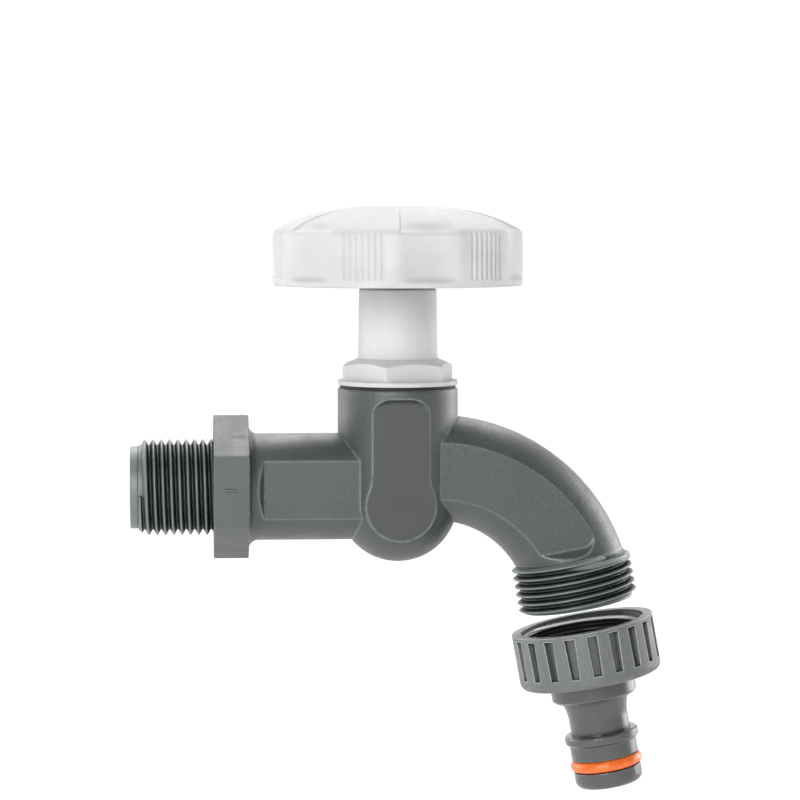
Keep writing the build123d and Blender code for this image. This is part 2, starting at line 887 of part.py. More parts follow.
with BuildPart() as handwheel:
    with BuildSketch(barrel_section):
        with BuildLine():
            crown = Spline(
                dome(0),
                dome(wheel_radius / 4),
                dome(wheel_radius / 2),
                dome(3 * wheel_radius / 4),
                dome(wheel_radius),
            )
            Polyline(crown @ 1, (wheel_radius, wheel_bottom), (0, wheel_bottom), crown @ 0)
        make_face()
    revolve(axis=barrel_axis)
    fillet(edges().group_by(Axis.Z)[0], radius=wheel_rim_edge)
    shoulder = handwheel.edges().filter_by_position(
        Axis.Z, wheel_shoulder - wheel_rim_edge, wheel_shoulder + wheel_rim_edge
    )
    fillet(shoulder, radius=wheel_shoulder_edge)
    add(wheel_hollow.part, mode=Mode.SUBTRACT)

    # Finger scallops in the side
    with BuildSketch(upright(wheel_bottom + wheel_rim)):
        with PolarLocations(scallop_centre, grips, start_angle=scallop_middle - 90):
            Circle(scallop_radius)
    extrude(amount=wheel_top - wheel_bottom, mode=Mode.SUBTRACT)

    # Sunk sectors of the dome, one above each scallop
    for grip in range(grips):
        start = math.radians(scallop_middle - 90 - scallop_arc / 2 + 360 * grip / grips)
        sector_plane = Plane(
            origin=(barrel_x, 0, 0),
            x_dir=(math.cos(start), math.sin(start), 0),
            z_dir=(math.sin(start), -math.cos(start), 0),
        )
        middle = (sector_start + wheel_radius) / 2
        with BuildSketch(sector_plane):
            with BuildLine():
                sunk = Spline(
                    dome(sector_start),
                    dome(middle, sector_depth / 2),
                    dome(wheel_radius, sector_depth),
                )
                Polyline(
                    sunk @ 1,
                    (wheel_radius + overcut, (sunk @ 1).Y),
                    (wheel_radius + overcut, wheel_top + overcut),
                    (sector_start, wheel_top + overcut),
                    sunk @ 0,
                )
            make_face()
        revolve(axis=barrel_axis, revolution_arc=scallop_arc, mode=Mode.SUBTRACT)

    # Fine grip grooves between the scallops
    groove_span = groove_step * (groove_count - 1)
    with BuildSketch(upright(wheel_bottom + groove_foot)):
        for grip in range(grips):
            groove_start = groove_middle - 90 - groove_span / 2 + 360 * grip / grips
            with PolarLocations(
                wheel_radius,
                groove_count,
                start_angle=groove_start,
                angular_range=groove_span,
                endpoint=True,
            ):
                Circle(groove_radius)
    extrude(amount=wheel_shoulder - wheel_bottom - groove_foot, mode=Mode.SUBTRACT)

    # Square socket, screw hole and seat for the cap
    with BuildSketch(upright(stem_top)):
        Rectangle(square_size + 2 * drive_play, square_size + 2 * drive_play)
    extrude(amount=square_length + drive_play, mode=Mode.SUBTRACT)
    with BuildSketch(barrel_section):
        with BuildLine():
            Polyline(
                (0, stem_top),
                (screw_radius + drive_play, stem_top),
                (screw_radius + drive_play, screw_seat),
                (pocket_radius, screw_seat),
                (pocket_radius, cap_seat),
                (cap_radius + cap_fit, cap_seat),
                (cap_radius + cap_fit, wheel_top + wheel_shell),
                (0, wheel_top + wheel_shell),
                close=True,
            )
        make_face()
    revolve(axis=barrel_axis, mode=Mode.SUBTRACT)

# Screw that holds the handwheel on the square
with BuildPart() as handwheel_screw:
    with BuildSketch(upright(screw_seat - screw_length)):
        Circle(screw_radius)
    extrude(amount=screw_length)
    with BuildSketch(upright(screw_seat)):
        Circle(screw_head_radius)
    extrude(amount=screw_head_height)
    fillet(edges().group_by(Axis.Z)[-1], radius=screw_head_edge)
    with BuildSketch(upright(screw_seat + screw_head_height - screw_slot_depth)):
        Rectangle(screw_slot_width, 2 * screw_head_radius)
        Rectangle(2 * screw_head_radius, screw_slot_width)
        Circle(screw_head_radius / 2, mode=Mode.INTERSECT)
    extrude(amount=screw_slot_depth, mode=Mode.SUBTRACT)

# Cap over the screw, with a skirt that clips in the pocket
with BuildPart() as handwheel_cap:
    with BuildSketch(upright(cap_seat)):
        Circle(cap_radius)
    extrude(amount=cap_thickness)
    fillet(edges().group_by(Axis.Z)[-1], radius=cap_edge)
    with BuildSketch(upright(cap_seat)):
        Circle(pocket_radius - cap_fit)
        Circle(pocket_radius - cap_fit - cap_skirt_wall, mode=Mode.SUBTRACT)
    extrude(amount=-cap_skirt)

# Hose connector: threaded socket above, hose nipple below
connector_groove = thread_ridge(
    spout_thread_plane.offset(turns_to_connector * pipe_pitch),
    spout_crest_radius,
    spout_root_radius,
    connector_washer_top + pipe_pitch,
    pipe_pitch,
    pipe_crest,
    pipe_flank,
    play_radial,
    play_axial,
)
bore_radius = spout_root_radius + play_radial

with BuildPart() as connector_body:
    with BuildSketch(connector_section):
        with BuildLine():
            Polyline(
                (0, grip_rim),
                (nut_body_radius, grip_rim),
                (nut_body_radius, shoulder_foot),
                (collar_radius, shoulder_foot),
                (collar_radius, collar_foot - collar_edge),
                (collar_radius - collar_edge, collar_foot),
                (flare_radius, collar_foot),
            )
            ThreePointArc(
                (flare_radius, collar_foot),
                (
                    neck_radius + (flare_radius - neck_radius) / 4,
                    collar_foot + (neck_top - collar_foot) / 2,
                ),
                (neck_radius, neck_top),
            )
            Polyline(
                (neck_radius, neck_top),
                (neck_radius, lock_top),
                (lock_radius - lock_edge / 2, lock_top),
                (lock_radius, lock_top + lock_edge / 2),
                (lock_radius, lock_foot - lock_edge),
                (band_radius, lock_foot),
                (band_radius, ring_top),
                (ring_floor_radius, ring_top),
                (ring_floor_radius, ring_top + ring_groove_width),
                (tip_radius, ring_top + ring_groove_width),
                (tip_radius, connector_length - tip_edge),
            )
            CenterArc(
                (tip_radius - tip_edge, connector_length - tip_edge), tip_edge, 0, 90
            )
            Polyline(
                (tip_radius - tip_edge, connector_length), (0, connector_length), (0, grip_rim)
            )
        make_face()
    revolve(axis=connector_axis)
    with BuildSketch(connector_section):
        with BuildLine():
            Polyline(
                (0, grip_rim),
                (bore_radius + thread_mouth, grip_rim),
                (bore_radius, grip_rim + thread_mouth),
                (bore_radius, socket_floor),
                (connector_washer_bore, socket_floor),
                (nipple_bore_radius, socket_floor + nipple_cone),
                (nipple_bore_radius, connector_length),
                (0, connector_length),
                close=True,
            )
        make_face()
    revolve(axis=connector_axis, mode=Mode.SUBTRACT)
    add(connector_groove, mode=Mode.SUBTRACT)

# Slotted grip sleeve round the socket
slot_top = grip_rim + grip_fit
slot_foot = connector_nut_height - grip_band
with BuildPart() as connector_grip:
    with BuildSketch(connector_section):
        with BuildLine():
            Polyline(
                (grip_lip_radius, 0),
                (grip_radius, 0),
                (grip_radius, connector_nut_height - grip_fillet),
            )
            CenterArc(
                (grip_radius - grip_fillet, connector_nut_height - grip_fillet),
                grip_fillet,
                0,
                90,
            )
            Polyline(
                (grip_radius - grip_fillet, connector_nut_height),
                (grip_foot_radius, connector_nut_height),
                (grip_foot_radius, shoulder_foot + grip_fit),
                (nut_body_radius + grip_fit, shoulder_foot + grip_fit),
                (nut_body_radius + grip_fit, grip_rim - grip_fit),
                (grip_lip_radius, grip_rim - grip_fit),
                (grip_lip_radius, 0),
            )
        make_face()
    revolve(axis=connector_axis)
    for slot in range(grip_slots):
        turn = 2 * math.pi * slot / grip_slots
        outward = connector_plane.x_dir * math.cos(turn) + connector_plane.y_dir * math.sin(turn)
        slot_plane = Plane(
            origin=connector_plane.origin,
            x_dir=connector_plane.z_dir,
            z_dir=outward,
        ).offset(nut_body_radius - grip_fit)
        with BuildSketch(slot_plane):
            with BuildLine():
                Polyline(
                    (slot_top, -slot_width_top / 2),
                    (slot_foot, -slot_width_foot / 2),
                    (slot_foot, slot_width_foot / 2),
                    (slot_top, slot_width_top / 2),
                    close=True,
                )
            make_face()
        extrude(amount=grip_radius, mode=Mode.SUBTRACT)

with BuildPart() as connector_washer:
    with BuildSketch(connector_plane.offset(connector_washer_top)):
        Circle(connector_washer_radius)
        Circle(connector_washer_bore, mode=Mode.SUBTRACT)
    extrude(amount=connector_washer_thickness - connector_washer_fit)

nipple_o_ring = ring_seal(
    connector_section,
    connector_axis,
    ring_centre,
    ring_top + ring_groove_width / 2,
    ring_wire_radius,
)

pieces = {
    "tap_body": tap_body,
    "bonnet": bonnet,
    "bonnet_gasket": bonnet_gasket,
    "spindle": spindle,
    "stem_o_ring_upper": stem_o_ring_upper,
    "stem_o_ring_lower": stem_o_ring_lower,
    "valve_jumper": valve_jumper,
    "valve_washer": valve_washer,
    "washer_nut": washer_nut,
    "handwheel": handwheel,
    "handwheel_screw": handwheel_screw,
    "handwheel_cap": handwheel_cap,
    "connector_body": connector_body,
    "connector_grip": connector_grip,
    "connector_washer": connector_washer,
    "nipple_o_ring": nipple_o_ring,
}
for name, piece in pieces.items():
    piece.part.label = name
    export_step(piece.part, f"parts/{name}.step")
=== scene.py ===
import math
from typing import NamedTuple

import bmesh
import bpy
from bpy.props import FloatProperty, FloatVectorProperty, IntProperty, PointerProperty
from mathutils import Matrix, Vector


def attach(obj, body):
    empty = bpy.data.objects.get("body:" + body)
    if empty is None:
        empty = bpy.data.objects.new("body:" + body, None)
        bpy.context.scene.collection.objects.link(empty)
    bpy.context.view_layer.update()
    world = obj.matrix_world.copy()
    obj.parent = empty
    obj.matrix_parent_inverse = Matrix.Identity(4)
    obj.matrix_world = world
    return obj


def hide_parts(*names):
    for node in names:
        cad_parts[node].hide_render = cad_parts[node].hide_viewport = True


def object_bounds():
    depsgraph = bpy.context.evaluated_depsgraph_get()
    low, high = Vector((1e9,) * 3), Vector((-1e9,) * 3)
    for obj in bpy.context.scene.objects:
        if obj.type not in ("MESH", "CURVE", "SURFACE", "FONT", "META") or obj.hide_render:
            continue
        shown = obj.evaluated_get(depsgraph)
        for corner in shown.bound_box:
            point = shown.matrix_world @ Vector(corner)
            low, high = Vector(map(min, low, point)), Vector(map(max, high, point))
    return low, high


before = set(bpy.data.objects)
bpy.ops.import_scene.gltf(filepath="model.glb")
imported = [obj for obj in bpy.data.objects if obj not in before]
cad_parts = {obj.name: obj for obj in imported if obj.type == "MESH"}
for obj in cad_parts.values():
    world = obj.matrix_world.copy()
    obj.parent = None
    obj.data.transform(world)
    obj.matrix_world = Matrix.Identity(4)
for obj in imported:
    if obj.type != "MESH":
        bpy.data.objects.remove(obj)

bl_info = {
    "name": "Water butt tap",
    "version": (1, 0, 0),
    "blender": (4, 5, 0),
    "location": "3D View > Sidebar > Butt tap",
    "description": "Finishes a packed plastic butt tap and sets it in a pale studio",
    "category": "Object",
}

CAD_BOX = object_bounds()
GREY_MOULDING = ("tap_body",)
WHITE_MOULDINGS = ("bonnet", "handwheel_cap")
BLACK_SEALS = ("bonnet_gasket", "stem_o_ring_upper", "stem_o_ring_lower", "valve_washer")
BRASS_PIECES = ("valve_jumper", "washer_nut")

# Tap body, in metres: direction of the spout's end, where its thread starts, the flange and the pads
INLET_AXIS = (1.0, 0.0, 0.0)
SIDE_AXIS = (0.0, 1.0, 0.0)
SPOUT_AXIS = (0.1788, 0.0, -0.98389)
THREAD_START = (0.028987, 0.029387)
STUD_END = (-0.0002, 0.0002)
FLANGE_END = (0.0078, 0.0080)
PAD_DEPTH = 0.01163
PAD_SKIN = (0.00002, 0.00006)
PAD_REACH = (0.0079, 0.0081)
SEAM_HALF = 0.00012
SEAM_HEIGHT = 0.00006

# Sizes of the patterns in the finishes, in metres
FLOW_MARK = 0.018
SHEEN_PATCH = 0.006
TARNISH_PATCH = 0.003
BLOOM_PATCH = 0.0025
# Specks that break up the painted highlight on the edges
HIGHLIGHT_SPECK = 0.0012
RUBBER_GRAIN = 0.0004
TURNING_RING = 0.00012
RING_STRETCH = (0.05, 0.05, 1.0)

# Contrast of noise, and of the edge and groove readings: from and to
MIDDLE = (0.35, 0.65)
WIDE = (0.3, 0.7)
EDGE_TURN = (1.0, 0.955)
GROOVE_SHADE = (0.45, 0.92)
CREST_SHADE = (0.55, 1)
SPECKS = (0.3, 0.6)
BLOOM = (0.4, 0.7)
TARNISH = (0.35, 0.7)

# How much each thing changes a plastic
FLOW_LIGHT = (0.94, 1.06)
PAD_SPECKLING = 0.2
PAD_GRAIN = 0.25
PAD_DARK = -0.4
FLANGE_LIGHT = 0.25
# The next two: painted highlight on the thread crests, and how much specks break the painted edge
# highlight
PAINTED_CREST_HIGHLIGHT = 0.9
SPECK_LIGHT = (0.55, 1.0)
PATCH_ROUGHNESS = (-0.05, 0.05)
EDGE_POLISH = 0.08
PLASTIC_IOR = 1.49

# How much bloom and tarnish change rubber and metal
RUBBER_DARK = 0.88
BLOOM_LIGHT = 1.08
BLOOM_DUST = 0.006
BLOOM_ROUGHNESS = 0.12
TARNISH_DARK = 0.72
TARNISH_ROUGHNESS = 0.18

# Handwheel, in metres: its axis, the sizes inside it, and its small slopes and roundings
WHEEL_X = 0.0405
GRIPS = 6
CAP_SEAT_RADIUS = 0.0066
CAP_SEAT_HEIGHT = 0.05975
POCKET_RADIUS = 0.0056
POCKET_FLOOR = 0.0555
SCREW_HOLE = 0.0021
SQUARE_TOP = 0.0535
SQUARE_HALF = 0.0037
HUB_RADIUS = 0.008
WEB_HALF = 0.0009
WEB_FOOT = 0.047
RIM_FOOT = 0.0010
FOOT_SLOPE = 0.0012
GROOVE_FOOT = 0.0016
GROOVE_HALF = 0.00055
SEAT_LIP = 0.00015
SOFT_EDGE = 0.0003
SCALLOP_SOFT = 0.0004
SCALLOP_FILL = 0.000048

# Handwheel, as shares: a scallop's reach past its arc, where its cut begins on the dome, the start
# and end of the shoulder's rounding in its radius, and how far the webs reach into the dome's wall
SCALLOP_REACH = 1.1
SIDE_CUT_START = 0.8
ROUND_START = 1.15
ROUND_END = 0.8
WEB_SINK = 0.8

# Handwheel mesh: rows of each part of the profile, and turns between the rows' points
DOME_ROWS = 22
SHOULDER_ROWS = 8
SIDE_ROWS = 14
RIM_ROWS = 4
INSIDE_ROWS = 8
EVEN_TURNS = 300
GROOVE_STEP = 0.00011
CREASE_STEP = math.radians(0.3)
CREASE_STEPS = 6
LEAST_TURN = math.radians(0.12)
TURN_DIGITS = 6
SHARP_CORNER = math.radians(50)
WEB_SIDES = ((0, 1, 3, 2), (4, 6, 7, 5), (0, 4, 5, 1), (2, 3, 7, 6), (0, 2, 6, 4), (1, 5, 7, 3))

# Studio, in metres: floor with a bent-up backdrop, what the lights face, the lights, and the camera
FLOOR_REACH = 30.0
BACKDROP_START = 1.2
BACKDROP_BEND = 0.6
BACKDROP_TOP = 4.0
BEND_ROWS = 12
FLOOR_WHITE = (0.9, 0.9, 0.9, 1)
GLOW_WHITE = (1, 1, 1, 1)
GLOW_STRENGTH = 1.2
GLOW_SHARE = 0.8
LIGHT_AIM = (0.04, 0.0, 0.02)
LIGHTS = (
    ("key_light", (-0.27, -0.74, 0.24), 0.45, "key_power"),
    ("top_light", (0.05, 0.4, 0.6), 0.55, "top_power"),
    ("back_light", (0.05, 0.8, 0.2), 0.7, "back_power"),
    ("left_light", (-0.7, 0.4, 0.1), 0.6, "left_power"),
    ("right_light", (0.8, 0.4, 0.1), 0.6, "right_power"),
)
CAMERA_SIDE = -0.005
CAMERA_HEIGHT = 0.063
CAMERA_AIM = (0.041, 0.0, 0.0189)
CAMERA_NEAR = 0.01
SENSOR_WIDTH = 36.0


def colour_property(name, description, default):
    """Colour swatch for a moulding or a metal."""
    return FloatVectorProperty(
        name=name, description=description, subtype="COLOR", size=3, min=0, max=1, default=default
    )


def length_property(name, description, default):
    """Length in metres."""
    return FloatProperty(
        name=name, description=description, default=default, min=0, subtype="DISTANCE", unit="LENGTH"
    )


def power_property(name, description, watts):
    """Power of a light."""
    return FloatProperty(name=name, description=description, default=watts, min=0, unit="POWER")


def angle_property(name, description, degrees):
    """Angle, given in degrees and kept in radians."""
    turn = math.radians(degrees)
    return FloatProperty(
        name=name, description=description, default=turn, subtype="ANGLE", unit="ROTATION"
    )


class TapFinishSettings(bpy.types.PropertyGroup):
    """Colours and surface of the tap's pieces."""

    body_grey: colour_property("Body grey", "Grey plastic of the tap body", (0.038, 0.0455, 0.0442))
    white: colour_property("White", "White plastic of bonnet and handwheel", (0.575, 0.58, 0.567))
    grip_grey: colour_property("Grip grey", "Grey plastic of the grip sleeve", (0.14, 0.15, 0.147))
    socket_grey: colour_property("Socket grey", "Dark plastic of the hose nipple", (0.06, 0.065, 0.0635))
    ring_orange: colour_property("Ring orange", "Rubber ring of the nipple", (0.85, 0.16, 0.02))
    stem_black: colour_property("Stem black", "Filled nylon of the spindle", (0.012, 0.012, 0.013))
    seal_black: colour_property("Seal black", "Rubber of the seals", (0.01, 0.01, 0.01))
    brass: colour_property("Brass", "Jumper and nut", (0.6, 0.4, 0.16))
    steel: colour_property("Steel", "Screw of the handwheel", (0.5, 0.5, 0.49))
    grain: length_property("Grain", "Size of the fine moulded grain", 0.00035)
    grain_depth: length_property("Grain depth", "Height of the fine moulded grain", 0.00008)
    edge_radius: length_property("Edge radius", "Softness of the moulded edges", 0.0003)
    body_edge_radius: length_property("Body edge radius", "Softness of the tap body's edges", 0.0009)
    thread_edge_radius: length_property("Thread edge radius", "Softness of the thread crests", 0.0003)
    # Reach of the painted shade in grooves and corners, which also dulls the reflection there
    painted_shade_reach: length_property("Groove reach", "Width of grooves that look dull and dark", 0.0016)


class TapWheelSettings(bpy.types.PropertyGroup):
    """Sizes of the handwheel."""

    radius: length_property("Radius", "Outer radius between the scallops", 0.0274)
    bottom: length_property("Bottom", "Height of the rim's lower edge above the inlet axis", 0.04415)
    shoulder: length_property("Shoulder", "Height where the dome meets the side", 0.056)
    top: length_property("Top", "Height of the middle of the dome", 0.0615)
    wall: length_property("Wall", "Thickness of the dome", 0.0022)
    bore: length_property("Bore", "Inner radius of the rim", 0.0236)
    shoulder_round: length_property("Shoulder rounding", "Radius of the upper edge", 0.0012)
    rim_round: length_property("Rim rounding", "Radius of the lower edge", 0.0005)
    scallop_depth: length_property("Scallop depth", "Depth of the six finger scallops", 0.0016)
    scallop_arc: angle_property("Scallop arc", "Width of a scallop", 27)
    scallop_middle: angle_property("Scallop middle", "Turn of the first scallop from the front", 10.7)
    sector_depth: length_property("Sector depth", "How far the dome sinks above a scallop", 0.0006)
    sector_start: length_property("Sector start", "Radius where a sunk sector begins", 0.010)
    groove_middle: angle_property("Groove middle", "Turn of the first group of grooves", 40.7)
    groove_spacing: length_property("Groove spacing", "Distance between fine grip grooves", 0.0014)
    groove_depth: length_property("Groove depth", "Depth of a fine grip groove", 0.00036)
    groove_count: IntProperty(name="Grooves", description="Fine grooves in a group", default=7, min=1)


class TapStudioSettings(bpy.types.PropertyGroup):
    """Camera, lights and floor."""

    view_width: length_property("View width", "Width of the view at the tap's middle plane", 0.1758)
    camera_distance: length_property("Camera distance", "From the tap's middle plane", 0.673)
    floor_drop: length_property("Floor drop", "From the tap's lowest point to the floor", 0.03)
    world_level: FloatProperty(
        name="World level", description="Strength of the even light all round", default=0.38, min=0
    )
    key_power: power_property("Key light", "Front light, high on the left", 5.2)
    top_power: power_property("Top light", "Light above and behind", 4.2)
    back_power: power_property("Back light", "Light low behind, for bright upper edges", 0.8)
    left_power: power_property("Left light", "Light on the left, a little behind", 3.0)
    right_power: power_property("Right light", "Light on the right, a little behind", 5.0)


def link(tree, source, target):
    """Join two sockets."""
    tree.links.new(source, target)


def new_material(name):
    """Empty material with its shader and the object's own coordinates."""
    material = bpy.data.materials.new(name)
    material.use_nodes = True
    tree = material.node_tree
    shader = tree.nodes["Principled BSDF"]
    place = tree.nodes.new("ShaderNodeTexCoord").outputs["Object"]
    return material, tree, shader, place


def noise(tree, place, size, detail=3.0, rough=0.5):
    """Noise with features of a size in metres."""
    node = tree.nodes.new("ShaderNodeTexNoise")
    node.inputs["Scale"].default_value = 1 / size
    node.inputs["Detail"].default_value = detail
    node.inputs["Roughness"].default_value = rough
    link(tree, place, node.inputs["Vector"])
    return node.outputs["Fac"]


def remap(tree, value, span, result=(0.0, 1.0)):
    """Smooth change from a span of values to a span of results."""
    node = tree.nodes.new("ShaderNodeMapRange")
    node.interpolation_type = "SMOOTHSTEP"
    link(tree, value, node.inputs["Value"])
    for socket, number in zip(("From Min", "From Max", "To Min", "To Max"), (*span, *result)):
        node.inputs[socket].default_value = number
    return node.outputs["Result"]


def calculate(tree, operation, first, second=None):
    """One step of arithmetic with a socket and a socket or a number."""
    node = tree.nodes.new("ShaderNodeMath")
    node.operation = operation
    link(tree, first, node.inputs[0])
    if isinstance(second, (int, float)):
        node.inputs[1].default_value = second
    elif second is not None:
        link(tree, second, node.inputs[1])
    return node.outputs["Value"]


def blend_colours(tree, amount, first, second):
    """Mix of two colours, each a socket or a plain colour."""
    node = tree.nodes.new("ShaderNodeMix")
    node.data_type = "RGBA"
    link(tree, amount, node.inputs["Factor"])
    for socket, colour in ((node.inputs[6], first), (node.inputs[7], second)):
        if isinstance(colour, tuple):
            socket.default_value = (*colour, 1)
        else:
            link(tree, colour, socket)
    return node.outputs[2]


def shaded(tree, colour, factor):
    """Colour socket multiplied by a factor socket."""
    node = tree.nodes.new("ShaderNodeVectorMath")
    node.operation = "SCALE"
    link(tree, colour, node.inputs["Vector"])
    link(tree, factor, node.inputs["Scale"])
    return node.outputs["Vector"]


def scaled(colour, factor):
    """Colour made lighter or darker."""
    return tuple(min(1.0, channel * factor) for channel in colour)


def soft_edge(tree, radius):
    """Rounded normal of the edges, and how near an edge lies."""
    bevel = tree.nodes.new("ShaderNodeBevel")
    bevel.samples = 8
    if isinstance(radius, float):
        bevel.inputs["Radius"].default_value = radius
    else:
        link(tree, radius, bevel.inputs["Radius"])
    geometry = tree.nodes.new("ShaderNodeNewGeometry")
    dot = tree.nodes.new("ShaderNodeVectorMath")
    dot.operation = "DOT_PRODUCT"
    link(tree, bevel.outputs["Normal"], dot.inputs[0])
    link(tree, geometry.outputs["Normal"], dot.inputs[1])
    return bevel.outputs["Normal"], remap(tree, dot.outputs["Value"], EDGE_TURN)


def cavity(tree, reach):
    """How open a spot is: 0 deep in a groove, 1 in the open."""
    node = tree.nodes.new("ShaderNodeAmbientOcclusion")
    node.samples = 6
    node.only_local = True
    node.inputs["Distance"].default_value = reach
    return remap(tree, node.outputs["AO"], GROOVE_SHADE)


def along(tree, place, direction):
    """Distance along a direction."""
    node = tree.nodes.new("ShaderNodeVectorMath")
    node.operation = "DOT_PRODUCT"
    link(tree, place, node.inputs[0])
    node.inputs[1].default_value = direction
    return node.outputs["Value"]


class BodyAreas(NamedTuple):
    """Masks of the body's threads, of its smooth sunk pads, and of its flange with the stud."""

    threads: bpy.types.NodeSocket
    pads: bpy.types.NodeSocket
    flange: bpy.types.NodeSocket


def body_areas(tree, place):
    """Find the body's areas from their places."""
    inlet_way = along(tree, place, INLET_AXIS)
    stud = remap(tree, inlet_way, STUD_END, (1, 0))
    spout = remap(tree, along(tree, place, SPOUT_AXIS), THREAD_START)
    depth = calculate(tree, "ABSOLUTE", along(tree, place, SIDE_AXIS))
    level = calculate(tree, "ABSOLUTE", calculate(tree, "SUBTRACT", depth, PAD_DEPTH))
    aside = calculate(tree, "ABSOLUTE", calculate(tree, "SUBTRACT", inlet_way, WHEEL_X))
    flat = remap(tree, level, PAD_SKIN, (1, 0))
    beside = remap(tree, aside, PAD_REACH, (1, 0))
    return BodyAreas(
        threads=calculate(tree, "MAXIMUM", stud, spout),
        pads=calculate(tree, "MULTIPLY", flat, beside),
        flange=remap(tree, inlet_way, FLANGE_END, (1, 0)),
    )


def bump(tree, height, depth, normal=None, strength=1.0):
    """Bump of a depth in metres on top of a normal."""
    node = tree.nodes.new("ShaderNodeBump")
    node.inputs["Strength"].default_value = strength
    node.inputs["Distance"].default_value = depth
    link(tree, height, node.inputs["Height"])
    if normal is not None:
        link(tree, normal, node.inputs["Normal"])
    return node.outputs["Normal"]


class PlasticLook(NamedTuple):
    """Look of one moulded plastic."""

    name: str
    colour: tuple
    roughness: float
    grain_height: float = 1.0
    speckling: float = 0.14
    # Painted highlight on edges: how much lighter the colour is made there
    painted_edge_highlight: float = 2.4
    # Painted shade in grooves and corners: how dark the colour and reflection are made there
    painted_groove_shade: float = 0.12
    sheen: float = 0.5


def plastic_colour(tree, place, look, grain, edge, openness, areas):
    """Speckled colour with a painted highlight on the edges and thread crests, and painted shade in
    grooves.
    """
    cloud = remap(tree, noise(tree, place, FLOW_MARK, 4.0), MIDDLE)
    base = blend_colours(tree, cloud, *(scaled(look.colour, light) for light in FLOW_LIGHT))
    fine = remap(tree, grain, MIDDLE, (-look.speckling, look.speckling))
    if areas:
        fine = calculate(tree, "MULTIPLY", fine, remap(tree, areas.pads, (0, 1), (1, PAD_SPECKLING)))
        fine = calculate(tree, "ADD", fine, calculate(tree, "MULTIPLY", areas.pads, PAD_DARK))
        fine = calculate(tree, "ADD", fine, calculate(tree, "MULTIPLY", areas.flange, FLANGE_LIGHT))
    base = shaded(tree, base, calculate(tree, "ADD", fine, 1))
    # Painted highlight on the soft edges, broken by specks, and on the thread crests
    speckle = remap(tree, noise(tree, place, HIGHLIGHT_SPECK, 2.0), SPECKS, SPECK_LIGHT)
    painted_highlight_mask = calculate(tree, "MULTIPLY", edge, speckle)
    if areas:
        crests = remap(tree, openness, CREST_SHADE, (0, PAINTED_CREST_HIGHLIGHT))
        painted_highlight_mask = calculate(tree, "MAXIMUM", painted_highlight_mask, calculate(tree, "MULTIPLY", areas.threads, crests))
    base = blend_colours(tree, painted_highlight_mask, base, scaled(look.colour, look.painted_edge_highlight))
    # Painted shade in grooves and corners, from the occlusion reading
    return shaded(tree, base, remap(tree, openness, (0, 1), (look.painted_groove_shade, 1)))


def moulded_plastic(finish, look, body=False):
    """Grained injection moulding with smoother edges under a painted highlight, painted shade and weaker
    reflection in grooves, flow marks and uneven sheen.
    """
    material, tree, shader, place = new_material(look.name)
    grain = noise(tree, place, finish.grain, 2.0, 0.6)
    areas = body_areas(tree, place) if body else None
    radius = finish.edge_radius
    if areas:
        crisp = calculate(tree, "MAXIMUM", areas.threads, areas.flange)
        radius = remap(tree, crisp, (0, 1), (finish.body_edge_radius, finish.thread_edge_radius))
    normal, edge = soft_edge(tree, radius)
    openness = cavity(tree, finish.painted_shade_reach)
    base = plastic_colour(tree, place, look, grain, edge, openness, areas)
    link(tree, base, shader.inputs["Base Color"])
    rough = remap(tree, noise(tree, place, SHEEN_PATCH), WIDE, PATCH_ROUGHNESS)
    rough = calculate(tree, "ADD", rough, look.roughness)
    rough = calculate(tree, "SUBTRACT", rough, calculate(tree, "MULTIPLY", edge, EDGE_POLISH))
    link(tree, rough, shader.inputs["Roughness"])
    if areas:
        off_middle = calculate(tree, "ABSOLUTE", along(tree, place, SIDE_AXIS))
        normal = bump(tree, remap(tree, off_middle, (0, SEAM_HALF), (1, 0)), SEAM_HEIGHT, normal)
        grain = calculate(tree, "MULTIPLY", grain, remap(tree, areas.pads, (0, 1), (1, PAD_GRAIN)))
    link(tree, bump(tree, grain, finish.grain_depth, normal, look.grain_height), shader.inputs["Normal"])
    gloss = remap(tree, openness, (0, 1), (look.sheen * look.painted_groove_shade, look.sheen))
    link(tree, gloss, shader.inputs["Specular IOR Level"])
    shader.inputs["IOR"].default_value = PLASTIC_IOR
    return material


def white_plastic(finish):
    """White moulding of bonnet, cap and handwheel, made once."""
    # Faint painted highlight on the edges and light painted shade in the grooves
    look = PlasticLook(
        "White",
        tuple(finish.white),
        roughness=0.5,
        grain_height=0.5,
        speckling=0.02,
        painted_edge_highlight=1.06,
        painted_groove_shade=0.85,
        sheen=0.12,
    )
    return bpy.data.materials.get(look.name) or moulded_plastic(finish, look)


def moulded_rubber(name, colour, roughness, finish, grain_height=1.0):
    """Matte rubber with a powdery bloom."""
    material, tree, shader, place = new_material(name)
    bloom = remap(tree, noise(tree, place, BLOOM_PATCH, 4.0), BLOOM)
    dusty = tuple(min(1.0, channel * BLOOM_LIGHT + BLOOM_DUST) for channel in colour)
    base = blend_colours(tree, bloom, scaled(colour, RUBBER_DARK), dusty)
    link(tree, base, shader.inputs["Base Color"])
    rough = calculate(tree, "ADD", calculate(tree, "MULTIPLY", bloom, BLOOM_ROUGHNESS), roughness)
    link(tree, rough, shader.inputs["Roughness"])
    grain = noise(tree, place, RUBBER_GRAIN)
    link(tree, bump(tree, grain, finish.grain_depth, strength=grain_height), shader.inputs["Normal"])
    return material


